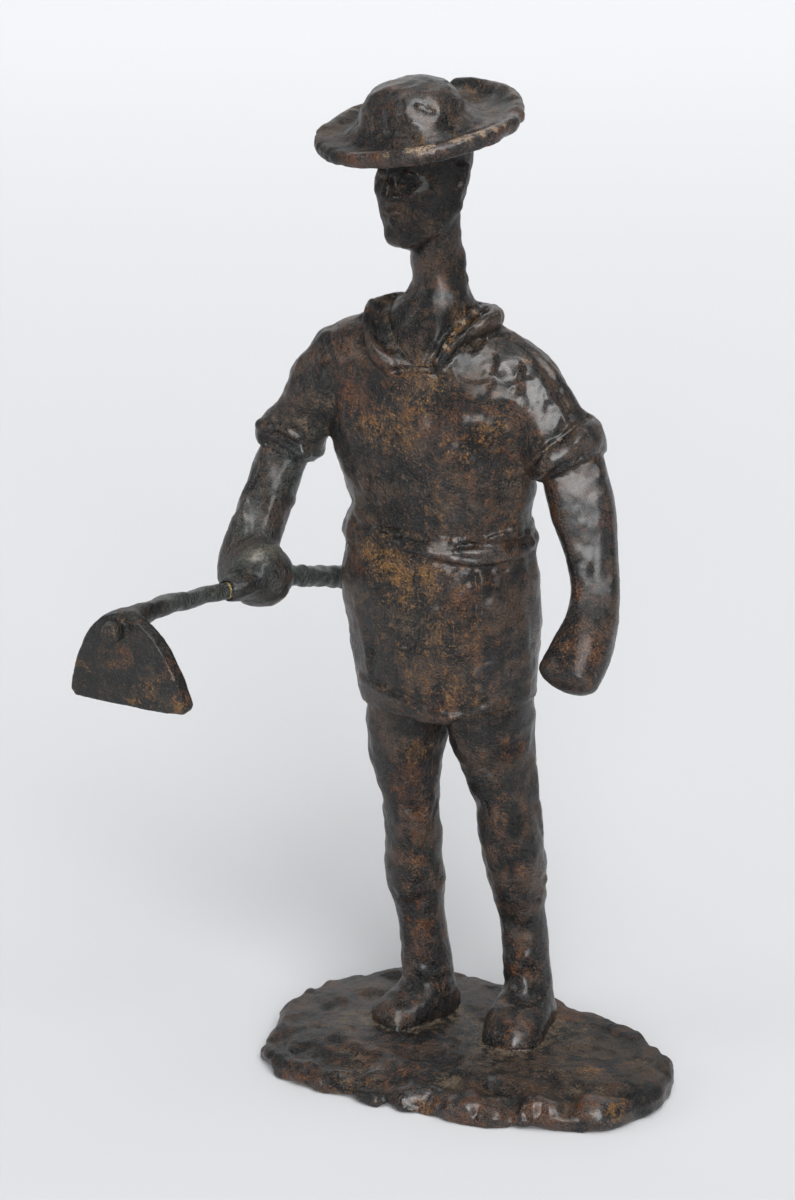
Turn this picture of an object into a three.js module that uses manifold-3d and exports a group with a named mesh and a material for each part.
// A small cast statue of a farmer, hand-modelled and patinated: he stands on an uneven plot of ground in a
// brimmed hat, a belted smock with rolled sleeves and trousers, and holds a hoe through his right fist.
// Millimetres, +Z up, the farmer faces -Y. The origin is on the underside, at the middle of the ground.
import * as THREE from "three";
import { mergeVertices } from "three/addons/utils/BufferGeometryUtils.js";
import Module from "manifold-3d";

const wasm = await Module();
wasm.setup();

// Driving dimensions.
const GROUND_THICK = 8.5;
const HAFT_FRONT_RADIUS = 2.7;
const HAFT_REAR_RADIUS = 3.5;
const GRIP_GAP = 0.3;
const BLADE_WIDTH = 40.6;
const BLADE_HEIGHT = 28.2;
const BLADE_THICK = 3.4;
const BLADE_EYE_DROP = 4.4;
const BLADE_EYE_ASIDE = 0.6;
const HAT_RADIUS = 31.5;
const HAT_CROWN_HEIGHT = 15;
const HAT_CROWN_FORWARD = 3.5;
const HAT_CROWN_ASIDE = 2.4;
const HAT_CROWN_LEAN = 1.8;
const HAT_TURN = -33;
const HAT_TILT = 12.8;
const HEAD_TURN = -23;

const ACROSS = new THREE.Vector3(1, 0, 0);
const BACK = new THREE.Vector3(0, 1, 0);
const UP = new THREE.Vector3(0, 0, 1);
const degrees = THREE.MathUtils.degToRad;

// A closed BufferGeometry becomes a solid that can be joined and cut.
function solid(geometry) {
  const plain = new THREE.BufferGeometry().setAttribute("position", geometry.getAttribute("position"));
  if (geometry.index) plain.setIndex(geometry.index);
  const merged = mergeVertices(plain, 1e-4);
  return new wasm.Manifold(
    new wasm.Mesh({
      numProp: 3,
      vertProperties: new Float32Array(merged.getAttribute("position").array),
      triVerts: new Uint32Array(merged.index.array),
    }),
  );
}

function joined(solids) {
  return solids.reduce((whole, piece) => whole.add(piece));
}

function mesh(name, body, material) {
  const made = body.getMesh();
  const geometry = new THREE.BufferGeometry();
  geometry.setAttribute("position", new THREE.BufferAttribute(new Float32Array(made.vertProperties), 3));
  geometry.setIndex(new THREE.BufferAttribute(new Uint32Array(made.triVerts), 1));
  geometry.computeVertexNormals();
  const result = new THREE.Mesh(geometry, material);
  result.name = name;
  return result;
}

// A smooth line through values at even steps, as numbers of any count.
function smooth(stations, t) {
  const last = stations.length - 1;
  const place = Math.min(Math.max(t, 0), 1) * last;
  const index = Math.min(Math.floor(place), last - 1);
  const part = place - index;
  const at = (k, n) => {
    if (k < 0) return 2 * stations[0][n] - stations[1][n];
    if (k > last) return 2 * stations[last][n] - stations[last - 1][n];
    return stations[k][n];
  };
  return stations[0].map((_, n) => {
    const [a, b, c, d] = [at(index - 1, n), at(index, n), at(index + 1, n), at(index + 2, n)];
    const bend = 2 * a - 5 * b + 4 * c - d;
    const twist = 3 * b - a + d - 3 * c;
    return b + 0.5 * part * (c - a + part * (bend + part * twist));
  });
}

// A closed skin of oval sections along a smooth line. A station is [x, y, z, half-width, half-depth], with
// the width along `side`. `start` and `end` are how far each rounded end stands out past its last section, and
// `marks`, where given, are the places along the line that get a section, counted in stations.
function limb(stations, { side = ACROSS, round = 16, steps = 16, marks, start = 1, end = 1, capRings = 2, shape } = {}) {
  const even = Array.from({ length: steps + 1 }, (_, k) => k / steps);
  const places = marks ? marks.map((mark) => mark / (stations.length - 1)) : even;
  const sections = [];
  const section = (t, shrink, push) => {
    const step = 1e-3;
    const [x, y, z, wide, deep] = smooth(stations, t);
    const ahead = new THREE.Vector3(...smooth(stations, Math.min(t + step, 1)));
    const behind = new THREE.Vector3(...smooth(stations, Math.max(t - step, 0)));
    const along = ahead.sub(behind).normalize();
    const width = side.clone().addScaledVector(along, -side.dot(along)).normalize();
    const depth = along.clone().cross(width);
    sections.push({ middle: new THREE.Vector3(x, y, z).addScaledVector(along, push), width, depth,
      wide: wide * shrink, deep: deep * shrink, t });
  };
  for (let k = capRings; k > 0; k -= 1) {
    const angle = (k / (capRings + 1)) * (Math.PI / 2);
    section(0, Math.cos(angle), -start * Math.sin(angle));
  }
  places.forEach((t) => section(t, 1, 0));
  for (let k = 1; k <= capRings; k += 1) {
    const angle = (k / (capRings + 1)) * (Math.PI / 2);
    section(1, Math.cos(angle), end * Math.sin(angle));
  }
  const points = [];
  for (const { middle, width, depth, wide, deep, t } of sections) {
    for (let j = 0; j < round; j += 1) {
      const angle = (2 * Math.PI * j) / round;
      const point = middle.clone().addScaledVector(width, wide * Math.cos(angle));
      point.addScaledVector(depth, deep * Math.sin(angle));
      points.push(shape ? shape(point, t, angle) : point);
    }
  }
  const faces = [];
  for (let i = 0; i < sections.length - 1; i += 1) {
    for (let j = 0; j < round; j += 1) {
      const [a, b] = [i * round + j, i * round + ((j + 1) % round)];
      faces.push(a, b, b + round, a, b + round, a + round);
    }
  }
  const pole = (first, sign, push) => {
    const ring = points.slice(first, first + round);
    const middle = ring.reduce((sum, p) => sum.add(p), new THREE.Vector3()).divideScalar(round);
    const { width, depth } = sections[first / round];
    middle.addScaledVector(width.clone().cross(depth), sign * push);
    points.push(middle);
    const tip = points.length - 1;
    for (let j = 0; j < round; j += 1) {
      const [a, b] = [first + j, first + ((j + 1) % round)];
      faces.push(...(sign < 0 ? [tip, b, a] : [tip, a, b]));
    }
  };
  const lastPush = (1 - Math.sin((capRings / (capRings + 1)) * (Math.PI / 2)));
  pole(0, -1, start * lastPush);
  pole((sections.length - 1) * round, 1, end * lastPush);
  const geometry = new THREE.BufferGeometry().setFromPoints(points);
  geometry.setIndex(faces);
  return geometry;
}

// A lathe's surface of a profile of [radius, height] pairs from the lower pole to the upper, bent by `shape`.
function turned(profile, segments, shape) {
  const geometry = new THREE.LatheGeometry(profile.map(([r, z]) => new THREE.Vector2(r, z)), segments);
  geometry.rotateX(Math.PI / 2);
  const place = geometry.getAttribute("position");
  for (let i = 0; i < place.count; i += 1) {
    const point = new THREE.Vector3().fromBufferAttribute(place, i);
    shape(point, Math.atan2(point.y, point.x), Math.hypot(point.x, point.y));
    place.setXYZ(i, point.x, point.y, point.z);
  }
  geometry.deleteAttribute("normal");
  geometry.deleteAttribute("uv");
  const merged = mergeVertices(geometry, 1e-3);
  return withoutSlivers(merged);
}

// Drops the triangles that a pole of a lathe folds to nothing.
function withoutSlivers(geometry) {
  const kept = [];
  const index = geometry.index.array;
  for (let i = 0; i < index.length; i += 3) {
    const [a, b, c] = [index[i], index[i + 1], index[i + 2]];
    if (a !== b && b !== c && c !== a) kept.push(a, b, c);
  }
  geometry.setIndex(kept);
  return geometry;
}

// The plot of ground: an uneven slab, upright at the back and falling away in knobs at the front.
const GROUND_RADII = [61, 55, 46.5, 41.5, 40, 42, 47, 57, 66, 67, 66.5, 66, 59.5, 48.5, 44, 42.5, 45, 50.5, 58.5, 64];

function groundRadius(angle) {
  const count = GROUND_RADII.length;
  const place = ((angle / (2 * Math.PI) + 1) % 1) * count;
  const index = Math.floor(place);
  const nearby = [-1, 0, 1, 2].map((k) => [GROUND_RADII[(index + k + count) % count]]);
  return smooth(nearby, (1 + place - index) / 3)[0];
}

function ground() {
  const profile = [[0, 0], [0.975, 0], [1, 0.2], [1, 0.62], [0.965, 0.92], [0.86, 1], [0.7, 1.02], [0.4, 1], [0, 1]];
  return solid(turned(profile, 44, (point, angle, share) => {
    const rim = share > 0.9 ? 1 + 0.014 * Math.sin(9 * angle + 1) + 0.01 * Math.sin(17 * angle) : 1;
    point.x *= groundRadius(angle) * rim;
    point.y *= groundRadius(angle) * rim;
    const front = Math.max(0, -Math.sin(angle + 0.25));
    const slope = THREE.MathUtils.smoothstep(share, 0.55, 1) * front;
    const knobs = 0.16 * Math.sin(11 * angle + 5 * share) * slope + 0.05 * share * Math.sin(5 * angle + 6 * share);
    point.z *= GROUND_THICK * (1 - 0.52 * slope + knobs);
  }));
}

// Trousers and feet.
function legs() {
  const right = limb([
    [-21.5, 14.5, 6, 8.4, 7.6], [-22.1, 14, 20, 8.0, 7.4], [-23.2, 14, 33, 7.5, 7.2], [-24.3, 14, 43, 7.3, 7.4],
    [-25.6, 13.4, 52, 8.8, 8.4], [-26.4, 13, 63, 9.0, 8.6], [-27, 13.2, 73, 8.9, 8.6], [-28.1, 14, 82, 9.4, 9.2],
    [-29.2, 15, 93, 11.3, 11], [-29, 15.5, 104, 12.7, 12.4], [-28, 15.5, 118, 13, 13],
  ], { steps: 16, round: 12, capRings: 1 });
  const left = limb([
    [10.2, 17.5, 6, 8, 7.4], [9.9, 17, 20, 7.5, 7.2], [9.3, 17, 32, 7.2, 7], [7.9, 17, 43, 7.4, 7.4],
    [6.6, 16.4, 53, 8.6, 8.4], [4.8, 16, 64, 9.7, 9.2], [3.6, 16, 74, 9.7, 9.2], [2.4, 16, 83, 9.7, 9.6],
    [-0.4, 16, 94.5, 11.7, 11.2], [-2.6, 15.5, 104, 13.3, 12.8], [-4, 15.5, 118, 14, 13.5],
  ], { steps: 16, round: 12, capRings: 1 });
  const rightFoot = limb([
    [-19.5, 21, 10.4, 7.2, 5.5], [-22, 15, 12, 8.2, 7], [-26, 8, 10.6, 8.2, 6], [-30, 2.5, 9, 7, 5],
  ], { side: new THREE.Vector3(0.86, -0.5, 0), steps: 5, round: 12, start: 2, end: 4 });
  const leftFoot = limb([
    [10.6, 22, 10.6, 7, 5.5], [10.2, 15, 12, 8.2, 7.4], [10.6, 6, 11, 9, 7], [11, -0.5, 9.4, 8.2, 6],
  ], { steps: 5, round: 12, start: 2, end: 5.5 });
  return [right, left, rightFoot, leftFoot].map(solid);
}

// The smock: its skirt with two scallops at the front, its belt and its blouse, in one skin.
const SMOCK = [
  [-16.2, 15.5, 112.5, 27.6, 17.6], [-17.2, 15.5, 126, 29, 19.2], [-17.8, 15.5, 138, 30.3, 20.2],
  [-19, 15.5, 150, 30.7, 20.4], [-19.3, 15.5, 160.2, 28.9, 19],
  [-19.3, 15.5, 161.3, 30.1, 20.2], [-19.3, 15.5, 163.2, 30.3, 20.4], [-19.3, 15.5, 165, 29.4, 19.6],
  [-19.3, 15.5, 166, 27.9, 18.1], [-19.2, 15.5, 172, 28.3, 18.3], [-19.4, 15.5, 181, 29.8, 18.6],
  [-20.2, 15.5, 190, 31.4, 18.8], [-21, 15.5, 200, 32.6, 18.4], [-21.6, 15.5, 209, 32, 17.4],
  [-21.8, 15.5, 217, 27.6, 15.8], [-21, 15.8, 225, 21, 13.2], [-20, 16.2, 230.5, 13.5, 10.6],
];
const SMOCK_MARKS = [0, 0.5, 1, 1.5, 2, 2.5, 3, 3.5, 4, 5, 6, 7, 8, 9, 10, 11, 12, 13, 13.5, 14, 14.5, 15, 15.5, 16];

function smock() {
  return [solid(limb(SMOCK, {
    marks: SMOCK_MARKS, round: 28, start: 0.4, end: 0.6, capRings: 1,
    shape: (point, t, angle) => {
      const front = Math.max(0, (15.5 - point.y) / 18);
      const low = Math.max(0, 1 - 4 * t);
      const scallops = 4 * Math.exp(-(((point.x + 15) / 13) ** 2)) + 1.2 * Math.exp(-(((point.x + 32) / 9) ** 2));
      point.z += 0.7 * Math.sin(3 * angle) * (1 - low) - scallops * front * low ** 3;
      return point;
    },
  }))];
}

// The arms: sleeve, rolled cuff, bare forearm and hand. The right hand is a fist, the left hand hangs open.
function rightArm() {
  const sleeve = limb([
    [-38, 16, 215, 14, 13], [-49, 16, 211.5, 12.8, 12.2], [-56.8, 15.8, 204, 10.7, 11], [-61.3, 15.6, 197, 9.3, 10.4],
    [-65.6, 15, 189.5, 9.2, 10],
  ], { steps: 8, round: 14, start: 2, end: 0.5, capRings: 1 });
  const cuff = limb([
    [-63.4, 15.4, 194, 9.6, 9.8], [-64.6, 15.2, 191.2, 11.4, 11.6], [-66.4, 14.8, 187.4, 11.4, 11.6],
    [-67.6, 14.4, 184.4, 9.4, 9.6],
  ], { steps: 4, round: 14, start: 0.3, end: 0.3, capRings: 1 });
  const forearm = limb([
    [-65, 15.5, 193, 7.2, 7.6], [-68.2, 12.6, 183, 7.5, 7.8], [-70.6, 6.5, 172, 7.9, 8.2], [-72, -0.5, 162.5, 8.2, 8.4],
    [-72.6, -6, 155, 8.6, 8.6], [-72, -9, 150, 8.4, 8.2],
  ], { steps: 10, round: 12, start: 1, end: 4, capRings: 1 });
  const fist = limb([
    [-71, -4, 157, 6, 7], [-68.5, -8, 154.4, 9.2, 9.6], [-66.3, -11, 151.8, 10.2, 10.2], [-65, -13.6, 149.5, 8.6, 8.8],
  ], { steps: 6, round: 12, start: 2, end: 4 });
  return [sleeve, cuff, forearm, fist].map(solid);
}

function leftArm() {
  const sleeve = limb([
    [-6, 16, 214, 14, 13], [4.6, 16, 210.6, 12, 12.2], [11.4, 15.8, 203.6, 11.2, 11.4], [16, 15.4, 197, 10.8, 11],
    [20, 15, 190.5, 10.4, 10.6],
  ], { steps: 8, round: 14, start: 2, end: 0.5, capRings: 1 });
  const cuff = limb([
    [16, 15.4, 198, 10.8, 11.2], [17.8, 15.1, 195, 12.9, 13], [20.6, 14.8, 190.2, 12.9, 13],
    [22.2, 14.6, 187.4, 10.6, 11],
  ], { steps: 4, round: 14, start: 0.3, end: 0.3, capRings: 1 });
  const forearm = limb([
    [19, 15, 194, 8.8, 8.8], [23, 14.6, 184, 9.6, 9.4], [26, 14, 174, 9.6, 9.2], [29.2, 12.4, 162, 7.8, 8],
    [31.5, 9, 152, 7.2, 7.8], [32.3, 3, 144, 7.8, 8.6], [31.4, -4, 137, 9.1, 8.6], [29.4, -10, 131, 9.4, 7.2],
  ], { steps: 13, round: 12, start: 1, end: 4 });
  return [sleeve, cuff, forearm].map(solid);
}

// The neck widens into the bare chest inside the collar, and two lapels run down to the flat foot of the opening.
function neck() {
  return solid(limb([
    [-21, 13.5, 210, 16, 14.2], [-20.8, 14, 220, 16.4, 14], [-19.8, 15, 230.4, 12.6, 12.4], [-19.5, 15.4, 238.6, 8.9, 8.4],
    [-20.2, 15.2, 247, 7.7, 7.6], [-21, 15, 256, 7.6, 7.8], [-22, 15, 266, 8.4, 8.4],
  ], { steps: 11, round: 12, capRings: 1 }));
}

function lapels() {
  const nape = [-19.5, 25.6, 228.6, 3, 2.4];
  const right = [nape, [-31, 23, 230, 3.4, 2.4], [-38.2, 14, 230, 3.6, 2], [-37, 4, 224.6, 3.6, 1.8],
    [-33.4, 0.4, 219.4, 3.2, 2.6], [-28.6, -1, 215.6, 1.8, 2.4]];
  const left = [nape, [-9, 23, 229, 3.4, 2.4], [-2.4, 13.5, 229.2, 4.4, 3.2], [-5, 5, 225, 4.6, 2.6],
    [-9, 0, 221.6, 4.4, 1.8], [-15, -2.2, 216.8, 2.6, 1.4]];
  const flap = (path, lean) => solid(limb(path,
    { side: new THREE.Vector3(lean, -0.5, 1), steps: 8, round: 8, start: 1, end: 1, capRings: 1 }));
  const foot = solid(limb([[-28.6, 1.2, 216.2, 1.8, 3.8], [-21, -0.8, 215.6, 1.6, 2.9], [-14.4, -0.2, 216.4, 1.3, 2.6]],
    { side: UP, steps: 4, round: 6, start: 0.6, end: 0.6, capRings: 1 }));
  return [flap(right, -0.6), flap(left, 0.9), foot];
}

// The head, in its own frame: his left is +x, his back +y, and z is 0 at the chin.
const headPlace = new THREE.Matrix4().makeRotationZ(degrees(HEAD_TURN)).setPosition(-23.6, 13.4, 250.8);

function head() {
  const skull = limb([
    [0, -7.4, 1, 4.4, 4.6], [0, -4.6, 4.6, 7.2, 8.6], [0, -2.6, 9.6, 9.4, 11.6], [0, -0.8, 15.5, 11.2, 13.8],
    [0, 0.4, 22, 12.4, 14.8], [0, 1, 29, 12.4, 14.8], [0, 1.2, 36, 10.4, 12.2],
  ], { steps: 9, round: 14, start: 1.4, end: 3, capRings: 1 });
  const nose = limb([[0, -14, 24, 1.4, 1.6], [0, -14.9, 19.6, 1.8, 2], [0, -15.6, 15.6, 2.5, 2.4]],
    { steps: 3, round: 6, start: 0.8, end: 1, capRings: 1 });
  const brow = limb([[-8, -10.4, 25, 1.4, 1.6], [0, -14.1, 25.5, 1.5, 1.7], [8, -10.4, 25, 1.4, 1.6]],
    { side: UP, steps: 4, round: 6, capRings: 1 });
  const lips = limb([[-3.7, -11.6, 9.8, 1.2, 1.2], [0, -13.6, 9.8, 1.5, 1.5], [3.7, -11.6, 9.8, 1.2, 1.2]],
    { side: UP, steps: 3, round: 6, start: 0.8, end: 0.8, capRings: 1 });
  const socket = (sign) => limb([[sign * 2.6, -15.6, 22, 1.5, 2], [sign * 5, -14.8, 22.2, 2, 2.4],
    [sign * 7.6, -12.8, 21.8, 1.5, 2]], { side: UP, steps: 3, round: 6, start: 0.8, end: 0.8, capRings: 1 });
  const ear = (sign) => limb([[sign * 11.2, 2.6, 15.6, 1.4, 1.6], [sign * 12.4, 3, 19.6, 1.6, 2.4],
    [sign * 12.8, 3.2, 24, 1.4, 2.2]], { steps: 3, round: 6, capRings: 1 });
  const placed = (geometry) => solid(geometry.applyMatrix4(headPlace));
  const face = joined([skull, nose, brow, lips, ear(-1), ear(1)].map(placed));
  return face.subtract(placed(socket(-1))).subtract(placed(socket(1)));
}

function hat() {
  const tall = HAT_CROWN_HEIGHT;
  const profile = [[0, -1.5], [0.6, -1.6], [0.93, -2.4], [0.985, -1.9], [1, -0.4], [0.985, 1.3], [0.93, 2.1],
    [0.74, 1.2], [0.59, 1.8], [0.51, 0.3 * tall], [0.46, 0.6 * tall], [0.37, 0.84 * tall], [0.21, 0.97 * tall], [0, tall]];
  const shape = (point, angle, share) => {
    const edge = share ** 3;
    const crown = 1 - THREE.MathUtils.smoothstep(share, 0.56, 0.8);
    point.x *= HAT_RADIUS;
    point.y *= HAT_RADIUS * (point.y < 0 ? 0.94 : 1);
    point.x += HAT_CROWN_ASIDE * crown;
    point.y += HAT_CROWN_LEAN * Math.max(0, 1 - share / 0.59) - HAT_CROWN_FORWARD * crown;
    const turnedUp = 2.8 * Math.exp(-(((angle - degrees(100)) / degrees(34)) ** 2));
    point.z += edge * turnedUp;
  };
  const tilt = new THREE.Matrix4().makeRotationX(degrees(HAT_TILT));
  const place = new THREE.Matrix4().makeRotationZ(degrees(HAT_TURN)).setPosition(-25.2, 12, 284.8).multiply(tilt);
  return solid(turned(profile, 32, shape).applyMatrix4(place));
}

// The hoe: a twisted haft that runs through the fist, with its end peg through a half-round blade.
const HAFT = [
  [-50, 34, 141], [-55, 20, 144.4], [-60.6, 4, 148.6], [-65.7, -11, 151.9], [-71.2, -25, 151.2], [-76.5, -40, 152],
  [-80.6, -58, 153.9], [-83.2, -71, 152.7], [-84.8, -78, 151.7],
];

function haft(extra = 0) {
  const last = HAFT.length - 1;
  const stations = HAFT.map((p, k) => {
    const radius = THREE.MathUtils.lerp(HAFT_REAR_RADIUS, HAFT_FRONT_RADIUS, k / last) + extra;
    return [...p, radius, radius];
  });
  return limb(stations, { side: UP, steps: 22, round: 10, start: 0.6, end: 0.6, capRings: 1 });
}

function blade() {
  const half = BLADE_WIDTH / 2;
  const outline = new THREE.Shape();
  outline.moveTo(-half, 2);
  outline.lineTo(-half * 0.93, 0);
  outline.quadraticCurveTo(0, -1, half * 0.93, 0.4);
  outline.lineTo(half, 2.6);
  outline.bezierCurveTo(half * 0.84, BLADE_HEIGHT * 0.56, half * 0.5, BLADE_HEIGHT, 0, BLADE_HEIGHT);
  outline.bezierCurveTo(-half * 0.5, BLADE_HEIGHT, -half * 0.84, BLADE_HEIGHT * 0.56, -half, 2);
  const plate = new THREE.ExtrudeGeometry(outline, {
    depth: BLADE_THICK - 1.2, bevelThickness: 0.6, bevelSize: 0.6, bevelOffset: -0.6, bevelSegments: 1,
    curveSegments: 9,
  });
  // The plate's width runs across the haft, its round top is up, and its face looks along the haft.
  const along = new THREE.Vector3(...HAFT[8]).sub(new THREE.Vector3(...HAFT[6])).normalize();
  const width = UP.clone().cross(along).normalize();
  const tall = along.clone().cross(width).normalize();
  const turn = new THREE.Matrix4().makeBasis(width, tall, along);
  const eye = new THREE.Vector3(...HAFT[7]);
  plate.translate(BLADE_EYE_ASIDE, -BLADE_HEIGHT + BLADE_EYE_DROP, -BLADE_THICK / 2);
  plate.applyMatrix4(turn.setPosition(eye));
  return solid(plate);
}

const bronze = new THREE.MeshStandardMaterial({ color: 0x2b2019, roughness: 0.45, metalness: 0.7 });
const handleBronze = new THREE.MeshStandardMaterial({ color: 0x2c2a26, roughness: 0.5, metalness: 0.7 });

const hoe = joined([solid(haft()), blade()]);
const farmer = joined([ground(), ...legs(), ...smock(), ...rightArm(), ...leftArm(), neck(), ...lapels(), head(), hat()])
  .subtract(solid(haft(GRIP_GAP)));

const statue = new THREE.Group();
statue.add(mesh("farmer_and_ground", farmer, bronze));
statue.add(mesh("hoe", hoe, handleBronze));

export default statue;
